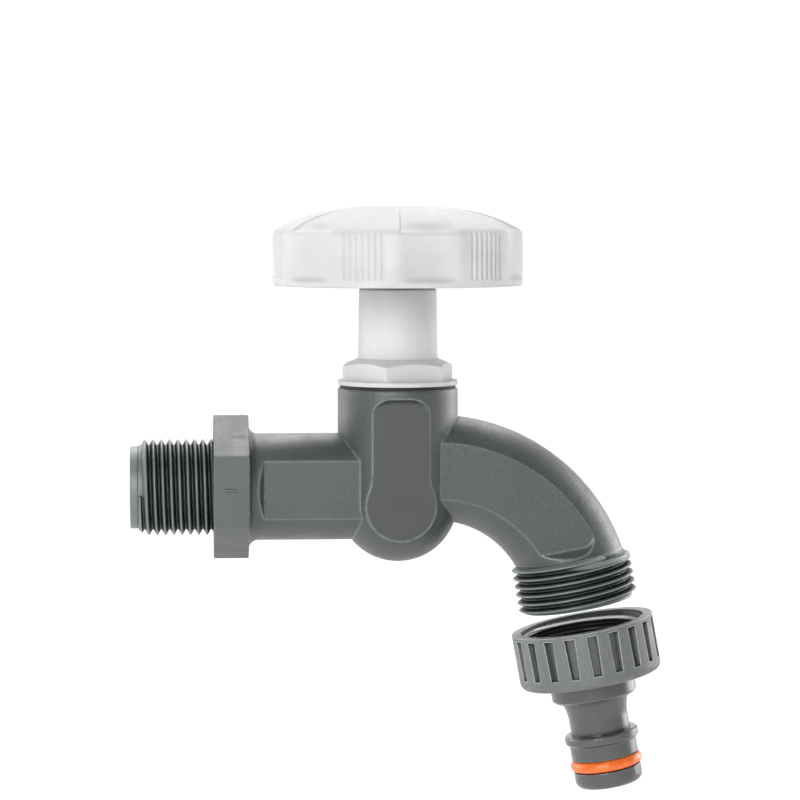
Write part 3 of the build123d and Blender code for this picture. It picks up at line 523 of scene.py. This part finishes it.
def turned_metal(name, colour, roughness, finish):
    """Lathe-turned metal with fine rings and slight tarnish."""
    material, tree, shader, place = new_material(name)
    stretch = tree.nodes.new("ShaderNodeMapping")
    stretch.inputs["Scale"].default_value = RING_STRETCH
    link(tree, place, stretch.inputs["Vector"])
    rings = noise(tree, stretch.outputs["Vector"], TURNING_RING, 2.0)
    tarnish = remap(tree, noise(tree, place, TARNISH_PATCH, 4.0), TARNISH)
    base = blend_colours(tree, tarnish, colour, scaled(colour, TARNISH_DARK))
    link(tree, base, shader.inputs["Base Color"])
    shader.inputs["Metallic"].default_value = 1.0
    rough = calculate(tree, "ADD", calculate(tree, "MULTIPLY", tarnish, TARNISH_ROUGHNESS), roughness)
    link(tree, rough, shader.inputs["Roughness"])
    normal, _ = soft_edge(tree, finish.edge_radius / 2)
    link(tree, bump(tree, rings, finish.grain_depth / 2, normal), shader.inputs["Normal"])
    return material


def put_on(nodes, material):
    """Give a finish to carried-over pieces."""
    for node in nodes:
        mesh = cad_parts[node].data
        mesh.materials.clear()
        mesh.materials.append(material)


class TAP_OT_body(bpy.types.Operator):
    """Finish the grey tap body"""

    bl_idname = "tap.body"
    bl_label = "Tap body"

    def execute(self, context):
        finish = context.scene.tap_finish
        # Strong painted highlight on the edges and deep painted shade in the grooves
        look = PlasticLook(
            "Body grey",
            tuple(finish.body_grey),
            roughness=0.44,
            speckling=0.2,
            painted_edge_highlight=3.8,
            painted_groove_shade=0.05,
            sheen=0.9,
        )
        put_on(GREY_MOULDING, moulded_plastic(finish, look, body=True))
        return {"FINISHED"}


class TAP_OT_white(bpy.types.Operator):
    """Finish the white bonnet and the cap"""

    bl_idname = "tap.white"
    bl_label = "Bonnet and cap"

    def execute(self, context):
        finish = context.scene.tap_finish
        put_on(WHITE_MOULDINGS, white_plastic(finish))
        return {"FINISHED"}


def smooth_step(low, high, value):
    """Soft change from 0 at low to 1 at high."""
    share = min(max((value - low) / (high - low), 0.0), 1.0)
    return share * share * (3 - 2 * share)


def turn_between(angle, middle, step):
    """Signed turn from the nearest of evenly spaced middles."""
    return (angle - middle + step / 2) % step - step / 2


class WheelForm:
    """Outer form of the handwheel: a dome with six scallops, sunk sectors and fine grooves."""

    def __init__(self, sizes):
        self.sizes = sizes
        self.step = math.tau / GRIPS
        self.half_arc = sizes.scallop_arc / 2
        self.scallop = sizes.scallop_middle - math.pi / 2
        self.groove = sizes.groove_middle - math.pi / 2
        self.span = sizes.groove_spacing * (sizes.groove_count - 1) / 2
        chord = sizes.radius * math.sin(self.half_arc)
        sink = sizes.scallop_depth - sizes.radius * (1 - math.cos(self.half_arc))
        self.hollow_radius = (chord**2 + sink**2) / (2 * sink)
        self.hollow_centre = sizes.radius - sizes.scallop_depth + self.hollow_radius

    def dome(self, radius):
        """Height of the plain dome at a radius."""
        sizes = self.sizes
        return sizes.top - (sizes.top - sizes.shoulder) * (radius / sizes.radius) ** 3

    def side_cut(self, angle, height):
        """How far scallops and grooves cut into the side at an angle and a height."""
        sizes = self.sizes
        off = turn_between(angle, self.scallop, self.step)
        cut = 0.0
        if abs(off) < self.half_arc * SCALLOP_REACH:
            reach = self.hollow_centre * math.sin(off)
            inner = self.hollow_centre * math.cos(off) - math.sqrt(self.hollow_radius**2 - reach**2)
            deep = sizes.radius - inner
            cut = max(0.0, (deep + math.hypot(deep, SCALLOP_SOFT)) / 2 - SCALLOP_FILL)
            foot = sizes.bottom + RIM_FOOT
            cut *= smooth_step(foot, foot + FOOT_SLOPE, height)
        off = turn_between(angle, self.groove, self.step) * sizes.radius
        if abs(off) < self.span + GROOVE_HALF:
            nearest = round((off + self.span) / sizes.groove_spacing)
            nearest = min(max(nearest, 0), sizes.groove_count - 1)
            aside = abs(off + self.span - nearest * sizes.groove_spacing)
            if aside < GROOVE_HALF:
                foot = sizes.bottom + GROOVE_FOOT
                window = smooth_step(foot, foot + SOFT_EDGE, height)
                window *= 1 - smooth_step(sizes.shoulder - SOFT_EDGE, sizes.shoulder + SOFT_EDGE, height)
                cut += sizes.groove_depth * (1 + math.cos(math.pi * aside / GROOVE_HALF)) / 2 * window
        return cut

    def dome_cut(self, angle, radius):
        """How far the dome sinks at an angle and a radius."""
        sizes = self.sizes
        if radius <= sizes.sector_start:
            return 0.0
        off = abs(turn_between(angle, self.scallop, self.step))
        inside = (self.half_arc - off) * radius
        reach = (radius - sizes.sector_start) / (sizes.radius - sizes.sector_start)
        return sizes.sector_depth * reach * smooth_step(-SOFT_EDGE / 2, SOFT_EDGE, inside)

    def outside(self):
        """Plain profile of the outside from the cap's seat over the dome to the rim's bore.

        Each point is a radius, a height, the share of the side cut and the share of the dome cut.
        """
        sizes = self.sizes
        lip = CAP_SEAT_RADIUS + SEAT_LIP
        rows = [
            (CAP_SEAT_RADIUS, CAP_SEAT_HEIGHT, 0, 0),
            (CAP_SEAT_RADIUS, self.dome(CAP_SEAT_RADIUS) - SEAT_LIP, 0, 0),
            (lip, self.dome(lip), 0, 0),
        ]
        inner = CAP_SEAT_RADIUS + 4 * SEAT_LIP
        edge = sizes.radius - sizes.shoulder_round * ROUND_START
        for index in range(DOME_ROWS + 1):
            share = index / DOME_ROWS
            radius = inner + (edge - inner) * share
            rows.append((radius, self.dome(radius), smooth_step(SIDE_CUT_START, 1.0, share), 1))
        start = Vector((edge, self.dome(edge)))
        corner = Vector((sizes.radius, self.dome(sizes.radius)))
        end = Vector((sizes.radius, sizes.shoulder - sizes.shoulder_round * ROUND_END))
        for index in range(1, SHOULDER_ROWS + 1):
            share = index / SHOULDER_ROWS
            point = start * (1 - share) ** 2 + corner * 2 * share * (1 - share) + end * share**2
            rows.append((point.x, point.y, 1, (1 - share) ** 2))
        foot = sizes.bottom + RIM_FOOT
        drop = (foot + 3 * SOFT_EDGE - end.y) / SIDE_ROWS
        heights = [end.y + drop * index for index in range(1, SIDE_ROWS + 1)]
        heights += [foot + 2 * SOFT_EDGE, foot + SOFT_EDGE, foot, sizes.bottom + sizes.rim_round]
        rows += [(sizes.radius, height, 1, 0) for height in heights]
        for index in range(1, RIM_ROWS + 1):
            turn = math.pi / 2 * index / RIM_ROWS
            radius = sizes.radius - sizes.rim_round * (1 - math.cos(turn))
            rows.append((radius, sizes.bottom + sizes.rim_round * (1 - math.sin(turn)), 0, 0))
        rows.append((sizes.bore + sizes.rim_round / 2, sizes.bottom, 0, 0))
        rows.append((sizes.bore, sizes.bottom + sizes.rim_round / 2, 0, 0))
        return rows

    def inside(self):
        """Plain profile of the inside from the rim's bore to the foot of the hub."""
        sizes = self.sizes
        rows = []
        for index in range(INSIDE_ROWS + 1):
            radius = sizes.bore + (HUB_RADIUS - sizes.bore) * index / INSIDE_ROWS
            rows.append((radius, self.dome(radius) - sizes.wall))
        rows.append((HUB_RADIUS, sizes.bottom + SOFT_EDGE))
        rows.append((HUB_RADIUS - SOFT_EDGE, sizes.bottom))
        return rows

    def angles(self):
        """Angles round the wheel, close together where there is detail."""
        turns = [math.tau * index / EVEN_TURNS for index in range(EVEN_TURNS)]
        fine = int((self.span + GROOVE_HALF) / GROOVE_STEP)
        for grip in range(GRIPS):
            turned = grip * self.step
            for index in range(-fine, fine + 1):
                turns.append(self.groove + turned + index * GROOVE_STEP / self.sizes.radius)
            for edge in (self.scallop - self.half_arc, self.scallop + self.half_arc):
                for index in range(-CREASE_STEPS, CREASE_STEPS + 1):
                    turns.append(edge + turned + index * CREASE_STEP)
        kept = []
        for turn in sorted({round(turn % math.tau, TURN_DIGITS) for turn in turns}):
            if not kept or turn - kept[-1] > LEAST_TURN:
                kept.append(turn)
        return kept


def wheel_shell(form):
    """Points and faces of the domed shell with its hub, as one closed skin."""
    points = []
    rows = 0
    outside = form.outside()
    for angle in form.angles():
        ring = []
        for radius, height, side, top in outside:
            cut = side * form.side_cut(angle, height) if side else 0.0
            drop = top * form.dome_cut(angle, radius) if top else 0.0
            ring.append((radius - cut, height - drop))
        ring += form.inside()
        flat = SQUARE_HALF / max(abs(math.cos(angle)), abs(math.sin(angle)))
        ring += [(flat, form.sizes.bottom), (flat, SQUARE_TOP)]
        ring += [(SCREW_HOLE, SQUARE_TOP), (SCREW_HOLE, POCKET_FLOOR)]
        ring += [(POCKET_RADIUS, POCKET_FLOOR), (POCKET_RADIUS, CAP_SEAT_HEIGHT)]
        rows = len(ring)
        for radius, height in ring:
            points.append((WHEEL_X + radius * math.cos(angle), radius * math.sin(angle), height))
    turns = len(points) // rows
    faces = []
    for turn in range(turns):
        here, after = turn * rows, (turn + 1) % turns * rows
        for row in range(rows):
            below = (row + 1) % rows
            faces.append((here + row, here + below, after + below, after + row))
    return points, faces


def wheel_webs(form):
    """Points and faces of the six webs between hub and rim."""
    sizes = form.sizes
    points = []
    faces = []
    for grip in range(GRIPS):
        angle = form.scallop + grip * form.step
        outward = Vector((math.cos(angle), math.sin(angle), 0))
        across = Vector((-math.sin(angle), math.cos(angle), 0)) * WEB_HALF
        first = len(points)
        for radius in (HUB_RADIUS - WEB_HALF, sizes.bore + WEB_HALF):
            for side in (-1, 1):
                for height in (WEB_FOOT, form.dome(radius) - sizes.wall * WEB_SINK):
                    points.append(Vector((WHEEL_X, 0, height)) + outward * radius + across * side)
        faces += [tuple(first + corner for corner in corners) for corners in WEB_SIDES]
    return points, faces


class TAP_OT_wheel(bpy.types.Operator):
    """Make the soft-edged handwheel with scallops, sunk sectors and grip grooves"""

    bl_idname = "tap.wheel"
    bl_label = "Handwheel"

    def execute(self, context):
        form = WheelForm(context.scene.tap_wheel)
        points, faces = wheel_shell(form)
        web_points, web_faces = wheel_webs(form)
        offset = len(points)
        points += [tuple(point) for point in web_points]
        faces += [tuple(offset + corner for corner in face) for face in web_faces]
        mesh = bpy.data.meshes.new("handwheel_moulding")
        mesh.from_pydata(points, [], faces)
        mesh.update()
        skin = bmesh.new()
        skin.from_mesh(mesh)
        bmesh.ops.recalc_face_normals(skin, faces=skin.faces)
        skin.to_mesh(mesh)
        skin.free()
        mesh.polygons.foreach_set("use_smooth", [True] * len(mesh.polygons))
        mesh.set_sharp_from_angle(angle=SHARP_CORNER)
        mesh.materials.append(white_plastic(context.scene.tap_finish))
        wheel = bpy.data.objects.new("handwheel_moulding", mesh)
        context.scene.collection.objects.link(wheel)
        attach(wheel, "spindle")
        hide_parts("handwheel")
        return {"FINISHED"}


class TAP_OT_connector(bpy.types.Operator):
    """Finish the hose connector's grip, nipple, washer and ring"""

    bl_idname = "tap.connector"
    bl_label = "Hose connector"

    def execute(self, context):
        finish = context.scene.tap_finish
        # The grip's edges get a painted highlight and its grooves painted shade
        grip = PlasticLook("Grip grey", tuple(finish.grip_grey), roughness=0.5, painted_edge_highlight=3.4)
        put_on(("connector_grip",), moulded_plastic(finish, grip))
        # Painted highlight on the edges and painted shade in the grooves
        socket = PlasticLook(
            "Socket grey",
            tuple(finish.socket_grey),
            roughness=0.24,
            grain_height=0.15,
            speckling=0.05,
            painted_groove_shade=0.3,
            sheen=0.9,
        )
        put_on(("connector_body",), moulded_plastic(finish, socket))
        ring = moulded_rubber("Ring orange", tuple(finish.ring_orange), 0.24, finish, 0.2)
        put_on(("nipple_o_ring",), ring)
        washer = moulded_rubber("Washer black", tuple(finish.seal_black), 0.6, finish)
        put_on(("connector_washer",), washer)
        return {"FINISHED"}


class TAP_OT_valve(bpy.types.Operator):
    """Finish the spindle, seals, jumper and screw"""

    bl_idname = "tap.valve"
    bl_label = "Spindle and valve"

    def execute(self, context):
        finish = context.scene.tap_finish
        # Default painted highlight on the edges and painted shade in the grooves
        stem = PlasticLook("Stem black", tuple(finish.stem_black), roughness=0.45, grain_height=0.5)
        put_on(("spindle",), moulded_plastic(finish, stem))
        put_on(BLACK_SEALS, moulded_rubber("Seal black", tuple(finish.seal_black), 0.6, finish))
        put_on(BRASS_PIECES, turned_metal("Brass", tuple(finish.brass), 0.3, finish))
        put_on(("handwheel_screw",), turned_metal("Steel", tuple(finish.steel), 0.28, finish))
        return {"FINISHED"}


def pale_stage_material(name):
    """White floor that keeps a faint shadow."""
    material = bpy.data.materials.new(name)
    material.use_nodes = True
    tree = material.node_tree
    shader = tree.nodes["Principled BSDF"]
    shader.inputs["Base Color"].default_value = FLOOR_WHITE
    shader.inputs["Roughness"].default_value = 0.9
    shader.inputs["Specular IOR Level"].default_value = 0.0
    glow = tree.nodes.new("ShaderNodeEmission")
    glow.inputs["Color"].default_value = GLOW_WHITE
    glow.inputs["Strength"].default_value = GLOW_STRENGTH
    path = tree.nodes.new("ShaderNodeLightPath")
    seen = calculate(tree, "MAXIMUM", path.outputs["Is Camera Ray"], path.outputs["Is Glossy Ray"])
    seen = calculate(tree, "MAXIMUM", seen, path.outputs["Is Transmission Ray"])
    mix = tree.nodes.new("ShaderNodeMixShader")
    link(tree, calculate(tree, "MULTIPLY", seen, GLOW_SHARE), mix.inputs["Fac"])
    link(tree, shader.outputs["BSDF"], mix.inputs[1])
    link(tree, glow.outputs["Emission"], mix.inputs[2])
    link(tree, mix.outputs["Shader"], tree.nodes["Material Output"].inputs["Surface"])
    return material


def studio_sweep(floor_level):
    """Floor that bends up into the backdrop."""
    profile = [(-FLOOR_REACH, floor_level), (BACKDROP_START, floor_level)]
    for row in range(1, BEND_ROWS + 1):
        turn = math.pi / 2 * row / BEND_ROWS
        rise = floor_level + BACKDROP_BEND * (1 - math.cos(turn))
        profile.append((BACKDROP_START + BACKDROP_BEND * math.sin(turn), rise))
    profile.append((BACKDROP_START + BACKDROP_BEND, BACKDROP_TOP))
    points = [(side, y, z) for side in (-FLOOR_REACH, FLOOR_REACH) for y, z in profile]
    count = len(profile)
    faces = [(row, row + 1, count + row + 1, count + row) for row in range(count - 1)]
    mesh = bpy.data.meshes.new("studio_sweep")
    mesh.from_pydata(points, [], faces)
    mesh.polygons.foreach_set("use_smooth", [True] * len(mesh.polygons))
    mesh.materials.append(pale_stage_material("Studio white"))
    sweep = bpy.data.objects.new("studio_sweep", mesh)
    bpy.context.scene.collection.objects.link(sweep)


def area_light(name, place, size, power):
    """Square soft light that faces the tap."""
    data = bpy.data.lights.new(name, "AREA")
    data.size = size
    data.energy = power
    light = bpy.data.objects.new(name, data)
    light.location = place
    light.rotation_euler = (Vector(LIGHT_AIM) - Vector(place)).to_track_quat("-Z", "Y").to_euler()
    bpy.context.scene.collection.objects.link(light)


def even_world(level):
    """World with even white light of a level."""
    world = bpy.data.worlds.new("Studio world")
    world.use_nodes = True
    background = world.node_tree.nodes["Background"]
    background.inputs["Color"].default_value = GLOW_WHITE
    background.inputs["Strength"].default_value = level
    return world


def photo_camera(distance, view_width):
    """Camera at the photograph's viewing angle."""
    data = bpy.data.cameras.new("camera")
    camera = bpy.data.objects.new("camera", data)
    camera.location = (CAMERA_SIDE, -distance, CAMERA_HEIGHT)
    line = Vector(CAMERA_AIM) - camera.location
    camera.rotation_euler = line.to_track_quat("-Z", "Y").to_euler()
    data.sensor_width = SENSOR_WIDTH
    data.lens = SENSOR_WIDTH * line.length / view_width
    data.clip_start = CAMERA_NEAR
    return camera


class TAP_OT_stage(bpy.types.Operator):
    """Set the floor, backdrop, lights and camera"""

    bl_idname = "tap.stage"
    bl_label = "Studio"

    def execute(self, context):
        scene = context.scene
        studio = scene.tap_studio
        studio_sweep(CAD_BOX[0].z - studio.floor_drop)
        scene.world = even_world(studio.world_level)
        for name, place, size, power in LIGHTS:
            area_light(name, place, size, getattr(studio, power))
        camera = photo_camera(studio.camera_distance, studio.view_width)
        scene.collection.objects.link(camera)
        scene.camera = camera
        scene.view_settings.view_transform = "Standard"
        return {"FINISHED"}


class TAP_PT_panel(bpy.types.Panel):
    """Finishes and studio of the butt tap"""

    bl_idname = "TAP_PT_panel"
    bl_label = "Water butt tap"
    bl_space_type = "VIEW_3D"
    bl_region_type = "UI"
    bl_category = "Butt tap"

    def draw(self, context):
        layout = self.layout
        for operator in OPERATORS:
            layout.operator(operator.bl_idname)
        scene = context.scene
        for settings in (scene.tap_finish, scene.tap_wheel, scene.tap_studio):
            for key in settings.__annotations__:
                layout.prop(settings, key)


OPERATORS = (TAP_OT_body, TAP_OT_white, TAP_OT_wheel, TAP_OT_valve, TAP_OT_connector, TAP_OT_stage)
CLASSES = (TapFinishSettings, TapWheelSettings, TapStudioSettings, *OPERATORS, TAP_PT_panel)


def register():
    """Add the classes and the scene's settings."""
    for item in CLASSES:
        bpy.utils.register_class(item)
    bpy.types.Scene.tap_finish = PointerProperty(type=TapFinishSettings)
    bpy.types.Scene.tap_wheel = PointerProperty(type=TapWheelSettings)
    bpy.types.Scene.tap_studio = PointerProperty(type=TapStudioSettings)


def unregister():
    """Take the classes and settings away."""
    del bpy.types.Scene.tap_studio
    del bpy.types.Scene.tap_wheel
    del bpy.types.Scene.tap_finish
    for item in reversed(CLASSES):
        bpy.utils.unregister_class(item)


def main():
    """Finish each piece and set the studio."""
    register()
    bpy.ops.tap.body()
    bpy.ops.tap.white()
    bpy.ops.tap.wheel()
    bpy.ops.tap.valve()
    bpy.ops.tap.connector()
    bpy.ops.tap.stage()


if __name__ == "__main__":
    main()
